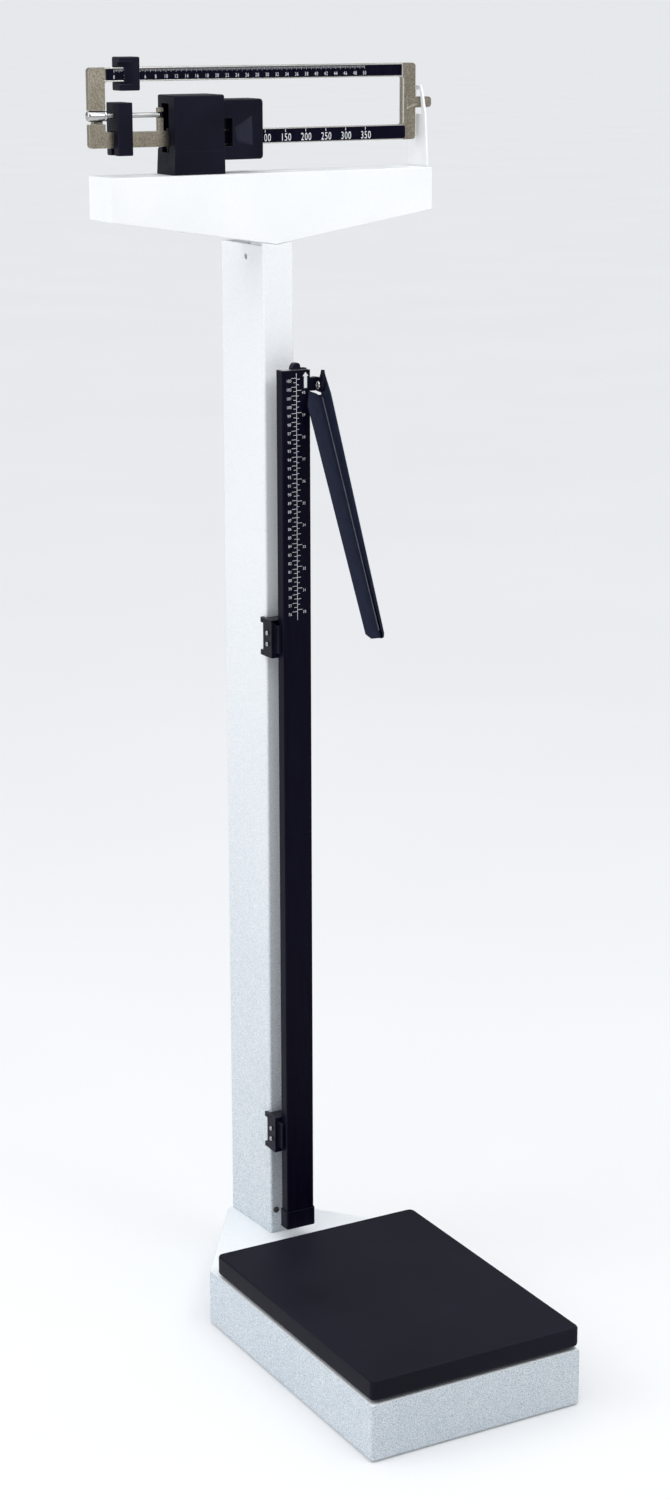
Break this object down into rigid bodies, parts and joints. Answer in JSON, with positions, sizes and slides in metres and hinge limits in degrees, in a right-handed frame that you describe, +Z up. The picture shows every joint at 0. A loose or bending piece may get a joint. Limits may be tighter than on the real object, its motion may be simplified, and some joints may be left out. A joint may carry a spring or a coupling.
{
  "type": "physician beam scale",
  "caption": "Upright mechanical physician scale: low platform base with levers, box column, balance beam with sliding poises on a shelf, telescoping height rod with folding headpiece",
  "frame": {"origin": "middle of the footprint of the bounding box, on the floor", "axes": "+Z up; -Y is the front, where the person steps on; +X is to the right of someone facing the column from the front"},
  "size_m": [0.4359, 0.557, 1.482],
  "materials": {
    "white_enamel": "speckled baked enamel, satin",
    "foot_rubber": "moulded, matt",
    "lever_steel": "ground",
    "lever_iron": "as cast, oiled",
    "platform_mat": "smooth, satin",
    "fixing_steel": "zinc plated",
    "pivot_housing": "moulded, fine grain",
    "beam_die_cast": "nickel plated die casting",
    "scale_plates": "satin black with white graduations",
    "poises": "satin black",
    "bright_screws": "polished",
    "rod_black": "satin black with white graduations",
    "inner_rod": "extruded, clear anodised",
    "black_mouldings": "moulded, satin"
  },
  "bodies": {
    "stand": {"base_casting": "white_enamel", "foot_front_left": "foot_rubber", "foot_front_right": "foot_rubber", "foot_back_left": "foot_rubber", "foot_back_right": "foot_rubber", "bearing_front_left": "lever_steel", "bearing_front_right": "lever_steel", "bearing_back_left": "lever_steel", "bearing_back_right": "lever_steel", "column": "white_enamel", "column_screw": "fixing_steel", "column_cleat_left": "fixing_steel", "column_cleat_right": "fixing_steel", "beam_box": "white_enamel", "trig_loop": "white_enamel", "fulcrum_stand": "lever_iron", "shelf_fulcrum_stand": "lever_iron", "pivot_housing": "pivot_housing", "rod_tube": "rod_black", "rod_end_cap": "black_mouldings", "clip_upper": "black_mouldings", "clip_lower": "black_mouldings", "clip_upper_screw_top": "bright_screws", "clip_upper_screw_bottom": "bright_screws", "clip_lower_screw_top": "bright_screws", "clip_lower_screw_bottom": "bright_screws"},
    "long_lever_body": {"long_lever": "lever_iron", "long_lever_fulcrum_knife_left": "lever_steel", "long_lever_fulcrum_knife_right": "lever_steel", "long_lever_load_knife_left": "lever_steel", "long_lever_load_knife_right": "lever_steel"},
    "short_lever_body": {"short_lever": "lever_iron", "short_lever_fulcrum_knife_left": "lever_steel", "short_lever_fulcrum_knife_right": "lever_steel", "short_lever_load_knife_left": "lever_steel", "short_lever_load_knife_right": "lever_steel"},
    "lever_link_body": {"lever_link": "lever_steel"},
    "platform": {"platform_mat": "platform_mat", "platform_deck": "lever_iron"},
    "steelyard_body": {"steelyard_rod": "lever_steel"},
    "shelf_lever_body": {"shelf_lever": "lever_iron", "shelf_lever_knife": "lever_steel"},
    "load_link_body": {"load_link": "lever_steel"},
    "beam_body": {"beam": "beam_die_cast", "beam_fulcrum_knife": "lever_steel", "beam_load_knife": "lever_steel", "upper_scale_plate": "scale_plates", "lower_scale_plate": "scale_plates"},
    "upper_poise_body": {"upper_poise": "poises"},
    "lower_poise_body": {"lower_poise": "poises"},
    "balance_weight_body": {"balance_weight": "poises"},
    "balance_screw_body": {"balance_screw": "bright_screws"},
    "inner_rod_body": {"inner_rod": "inner_rod", "rod_tab": "black_mouldings", "headpiece_bracket": "black_mouldings", "hinge_screw": "bright_screws"},
    "headpiece": {"headpiece_blade": "rod_black"}
  },
  "joints": [
    {"name": "beam_tilt", "type": "hinge", "parent": "stand", "child": "beam_body", "pos_m": [-0.083, 0.2, 1.388], "axis": [0, 1, 0], "range_deg": [-1.2, 1.2]},
    {"name": "load_link_lift", "type": "slide", "parent": "stand", "child": "load_link_body", "axis": [0, 0, 1], "range_m": [-0.00052, 0.00052]},
    {"name": "shelf_lever_tilt", "type": "hinge", "parent": "stand", "child": "shelf_lever_body", "pos_m": [0.064, 0.2, 1.3156], "axis": [0, 1, 0], "range_deg": [-0.17442, 0.17442]},
    {"name": "steelyard_lift", "type": "slide", "parent": "stand", "child": "steelyard_body", "axis": [0, 0, 1], "range_m": [-0.0001827, 0.0001827]},
    {"name": "long_lever_tilt", "type": "hinge", "parent": "stand", "child": "long_lever_body", "pos_m": [0.004, -0.2535, 0.038], "axis": [1, 0, 0], "range_deg": [-0.023077, 0.023077]},
    {"name": "short_lever_tilt", "type": "hinge", "parent": "stand", "child": "short_lever_body", "pos_m": [0.004, 0.0835, 0.025], "axis": [1, 0, 0], "range_deg": [-0.023491, 0.023491]},
    {"name": "lever_link_lift", "type": "slide", "parent": "stand", "child": "lever_link_body", "axis": [0, 0, 1], "range_m": [-0.0000685, 0.0000685]},
    {"name": "platform_sink", "type": "slide", "parent": "stand", "child": "platform", "axis": [0, 0, 1], "range_m": [-0.0000122, 0.0000122]},
    {"name": "upper_poise_slide", "type": "slide", "parent": "beam_body", "child": "upper_poise_body", "axis": [1, 0, 0], "range_m": [0, 0.3097]},
    {"name": "lower_poise_slide", "type": "slide", "parent": "beam_body", "child": "lower_poise_body", "axis": [1, 0, 0], "range_m": [0, 0.182]},
    {"name": "balance_weight_slide", "type": "slide", "parent": "beam_body", "child": "balance_weight_body", "axis": [1, 0, 0], "range_m": [-0.0065, 0.03]},
    {"name": "balance_screw_turn", "type": "hinge", "parent": "beam_body", "child": "balance_screw_body", "pos_m": [-0.177, 0.2, 1.4193], "axis": [1, 0, 0], "range_deg": [-8645, 2740]},
    {"name": "rod_raise", "type": "slide", "parent": "stand", "child": "inner_rod_body", "axis": [0, 0, 1], "range_m": [0, 0.94]},
    {"name": "headpiece_fold", "type": "hinge", "parent": "inner_rod_body", "child": "headpiece", "pos_m": [0.037, 0.131, 1.1183], "axis": [-1, 0, 0], "range_deg": [0, 62.4]}
  ],
  "couplings": [
    {"joint": "load_link_lift", "follows": "beam_tilt", "m_per_rad": 0.025},
    {"joint": "shelf_lever_tilt", "follows": "beam_tilt", "ratio": 0.14535},
    {"joint": "steelyard_lift", "follows": "beam_tilt", "m_per_rad": 0.0087209},
    {"joint": "long_lever_tilt", "follows": "beam_tilt", "ratio": 0.01923},
    {"joint": "short_lever_tilt", "follows": "beam_tilt", "ratio": -0.019576},
    {"joint": "lever_link_lift", "follows": "beam_tilt", "m_per_rad": 0.0032691},
    {"joint": "platform_sink", "follows": "beam_tilt", "m_per_rad": 0.00058209},
    {"joint": "balance_screw_turn", "follows": "balance_weight_slide", "rad_per_m": -5026.5}
  ]
}
